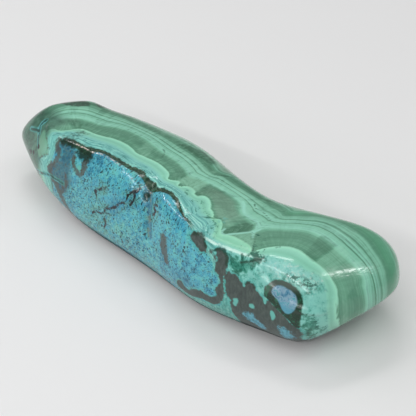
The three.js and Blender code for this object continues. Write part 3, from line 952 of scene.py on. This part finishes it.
def blueGround(tree, face, cloud, broad, lower):
    tone = calc(tree, "ADD", product(tree, cloud, 0.7), product(tree, broad, 0.4))
    tone = calc(tree, "MULTIPLY_ADD", lower, 0.03, tone)
    blue = ramp(tree, tone, [
        (0.38, "21667f"), (0.46, "30819c"), (0.54, "44a1b8"), (0.61, "55b1bb"), (0.69, "60b6b2"),
        (0.80, "79c1b8"),
    ])
    # pale turquoise network between the grains
    netShare = calc(tree, "MULTIPLY_ADD", lower, 0.35, 0.2)
    return cover(tree, blue, "83cabb", step(tree, cellEdges(tree, face, 0.55), 0.16, 0.02), netShare)


def blueSpecks(tree, face, lower):
    # specks fill some cells only, and crowd together in places
    crowd = calc(tree, "ADD", noise(tree, face, 0.22, 2.0, 0.6), product(tree, lower, 0.08))
    crowd = product(tree, centred(tree, crowd), 1.6)
    total = 0.0
    for scale, size, gate, strength in speckSizes:
        cells = addNode(tree, "ShaderNodeTexVoronoi", {"Vector": face, "Scale": scale})
        cellNumber = addNode(tree, "ShaderNodeSeparateColor", {0: cells.outputs["Color"]}).outputs[0]
        chosen = calc(tree, "ADD", cellNumber, crowd)
        dot = step(tree, cells.outputs["Distance"], size, size * 0.55)
        speck = product(tree, dot, step(tree, chosen, gate, gate + 0.08), strength)
        total = calc(tree, "MAXIMUM", total, speck)
    return total


def blueColour(tree, here):
    # grains run straight in from the face, so the pattern hardly changes with depth
    face = joined(tree, here.x, product(tree, here.y, 0.12), here.z)
    bent = addNode(tree, "ShaderNodeTexNoise", {"Vector": face, "Scale": 0.8, "Detail": 2.0})
    face = addNode(
        tree, "ShaderNodeVectorMath", {0: bent.outputs["Color"], 1: (1.8, 0.3, 1.8), 2: face},
        operation="MULTIPLY_ADD",
    ).outputs[0]
    broad = noise(tree, face, 0.09)
    cloud = noise(tree, face, 0.45, 5.0, 0.7)
    lower = product(tree, step(tree, here.z, 27.0, 12.0), step(tree, here.x, 18.0, 8.0))
    blue = blueGround(tree, face, cloud, broad, lower)
    specks = blueSpecks(tree, face, lower)
    speckColour = ramp(tree, broad, [(0.42, "103743"), (0.55, "213132"), (0.65, "144046")])
    blue = cover(tree, blue, speckColour, specks)
    # painted shade: the valley is darker blue, with a brown tint of its own
    valleyShadeEdge = calc(tree, "MULTIPLY_ADD", cloud, 3.0, field(tree, "valleyGap"))
    valleyShadeColour = ramp(tree, cloud, [(0.42, "2c5a72"), (0.5, "3f7d92"), (0.58, "6b6a58")])
    blue = cover(tree, blue, valleyShadeColour, step(tree, valleyShadeEdge, 4.2, 1.8), 0.75)
    # a web of hair cracks and a brownish bloom close to the drawn cracks
    near = field(tree, "crackGap")
    blue = cover(tree, blue, "4d8574", step(tree, near, 4.0, 0.5), step(tree, cloud, 0.42, 0.58), 0.55)
    web = step(tree, cellEdges(tree, face, 0.42), 0.07, 0.02)
    blue = cover(tree, blue, "263739", web, step(tree, near, 3.6, 1.8), step(tree, cloud, 0.46, 0.54), 0.8)
    return blue, specks


def stoneMaterial():
    material = bpy.data.materials.new(finish["name"])
    material.use_nodes = True
    tree = material.node_tree
    shader = tree.nodes["Principled BSDF"]
    here = stonePlaces(tree)
    colour = sheetBands(tree, here)
    for layer in (fanShades, fibreGrain, malachiteTints, turquoiseZone, taperedEnd, darkRim):
        colour = layer(tree, here, colour)
    blue, specks = blueColour(tree, here)
    colour = blueFace(tree, here, colour, blue)
    for layer in (bluntBlock, frontLayers, eye, crackMarks):
        colour = layer(tree, here, colour)
    # the foot is painted dark as contact shade, and turns matt where the polish ends just above the sole
    sole = step(tree, here.z, *finish["soleEdge"])
    colour = cover(tree, colour, finish["footShadeColour"], sole, finish["footShadeShare"])
    plug(tree, shader.inputs["Base Color"], colour)
    chert = step(tree, ragged(tree, here, "greyZone", 1.0), *chertEdge)
    dulling = finish["chertRoughness"] - finish["roughness"]
    rough = calc(tree, "MULTIPLY_ADD", chert, dulling, finish["roughness"])
    rough = calc(tree, "MULTIPLY_ADD", noise(tree, here.place, 0.9, 3.0), finish["roughnessSpread"], rough)
    rough = calc(tree, "MULTIPLY_ADD", sole, finish["soleRoughness"], rough)
    plug(tree, shader.inputs["Roughness"], rough)
    waves = product(tree, noise(tree, here.place, 1.2, 3.0), 0.2)
    bumpHeight = calc(tree, "MULTIPLY_ADD", specks, -0.5, waves)
    bump = addNode(tree, "ShaderNodeBump", {
        "Height": bumpHeight, "Strength": finish["bumpStrength"], "Distance": finish["bumpDistance"],
    })
    plug(tree, shader.inputs["Normal"], bump.outputs[0])
    return material


shot = {
    "azimuth": 47.0,
    "elevation": 36.0,
    "distance": 0.560,
    "target": (0.0109, -0.0032, 0.0244),
    "lens": 135.7,
    "clip": (0.01, 20.0),
}

studio = {
    "floorColour": (0.80, 0.80, 0.8016, 1.0),
    "floorSize": 8.0,
    "skyStrength": 0.31,
}

# Each lamp faces the stone's middle from its own direction, so many metres away.
lamps = [
    {"name": "overheadBox", "towards": (-0.38, 0.26, 0.88), "away": 1.3, "size": (0.5, 0.2), "watts": 2.4},
    {"name": "cameraBox", "towards": (0.3, -0.25, 0.92), "away": 1.6, "size": (1.6, 1.6), "watts": 6.6},
    {"name": "frontBox", "towards": (0.1, -0.85, 0.5), "away": 1.3, "size": (1.2, 0.6), "watts": 0.4},
    {"name": "rightBox", "towards": (0.85, 0.5, 0.45), "away": 1.4, "size": (1.2, 0.8), "watts": 0.3},
    {"name": "backBox", "towards": (0.34, 0.48, 0.81), "away": 1.3, "size": (0.34, 0.34), "watts": 0.22},
    {"name": "backdropBox", "towards": (-0.6, 0.45, 0.66), "away": 1.6, "size": (1.4, 0.9), "watts": 0.9},
    {"name": "crestStrip", "towards": (-0.52, -0.47, 0.71), "away": 1.0, "size": (0.6, 0.07), "watts": 1.3},
    {"name": "noseStrip", "towards": (0.12, -0.77, 0.57), "away": 1.0, "size": (1.2, 0.04), "watts": 2.5},
    {"name": "noseLowStrip", "towards": (0.2, -0.9, 0.4), "away": 1.0, "size": (1.1, 0.12), "watts": 0.7},
    {"name": "noseHighStrip", "towards": (0.46, -0.6, 0.65), "away": 1.0, "size": (0.3, 0.06), "watts": 0.45},
    {"name": "leftStrip", "towards": (-0.78, -0.2, 0.58), "away": 1.0, "size": (0.35, 0.03), "watts": 0.65},
    {"name": "endStrip", "towards": (0.39, 0.47, 0.79), "away": 1.0, "size": (0.06, 0.03), "watts": 0.3},
]


def direction(azimuth, elevation):
    a, e = math.radians(azimuth), math.radians(elevation)
    return Vector((math.sin(a) * math.cos(e), -math.cos(a) * math.cos(e), math.sin(e)))


def floorMaterial():
    material = bpy.data.materials.new("paleFloor")
    material.use_nodes = True
    shader = material.node_tree.nodes["Principled BSDF"]
    shader.inputs["Base Color"].default_value = studio["floorColour"]
    shader.inputs["Roughness"].default_value = 1.0
    shader.inputs["Specular IOR Level"].default_value = 0.0
    return material


def buildStage():
    bpy.ops.mesh.primitive_plane_add(size=studio["floorSize"], location=(0, 0, cadBox[0].z))
    floor = bpy.context.object
    floor.name = "studioFloor"
    floor.data.materials.append(floorMaterial())
    world = bpy.data.worlds.new("softStudio")
    bpy.context.scene.world = world
    world.use_nodes = True
    sky = world.node_tree.nodes["Background"]
    sky.inputs["Color"].default_value = (1, 1, 1, 1)
    sky.inputs["Strength"].default_value = studio["skyStrength"]
    middle = Vector(shot["target"])
    for lamp in lamps:
        data = bpy.data.lights.new(lamp["name"], "AREA")
        data.shape = "RECTANGLE"
        data.size, data.size_y = lamp["size"]
        data.energy = lamp["watts"]
        light = bpy.data.objects.new(lamp["name"], data)
        towards = Vector(lamp["towards"]).normalized()
        light.location = middle + towards * lamp["away"]
        light.rotation_euler = towards.to_track_quat("Z", "Y").to_euler()
        bpy.context.scene.collection.objects.link(light)


def buildCamera():
    data = bpy.data.cameras.new("shotCamera")
    data.lens = shot["lens"]
    data.clip_start, data.clip_end = shot["clip"]
    camera = bpy.data.objects.new("shotCamera", data)
    back = direction(shot["azimuth"], shot["elevation"])
    camera.location = Vector(shot["target"]) + back * shot["distance"]
    camera.rotation_euler = (-back).to_track_quat("-Z", "Y").to_euler()
    bpy.context.scene.collection.objects.link(camera)
    bpy.context.scene.camera = camera
    bpy.context.scene.view_settings.view_transform = "Standard"


buildStage()
buildCamera()
print("stage, lights and camera")

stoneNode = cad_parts[stone["node"]]
piece = fineMesh(stoneNode)
print("fine mesh", len(piece.data.vertices), "points")
points = meshPoints(piece.data).T
addTopFields(piece.data, *points)
addFrontFields(piece.data, *points)
print("fields stored")
material = stoneMaterial()
carveRelief(piece, material)
print("relief and finish", len(piece.data.polygons), "faces")

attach(piece, "root")
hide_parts(stone["node"])
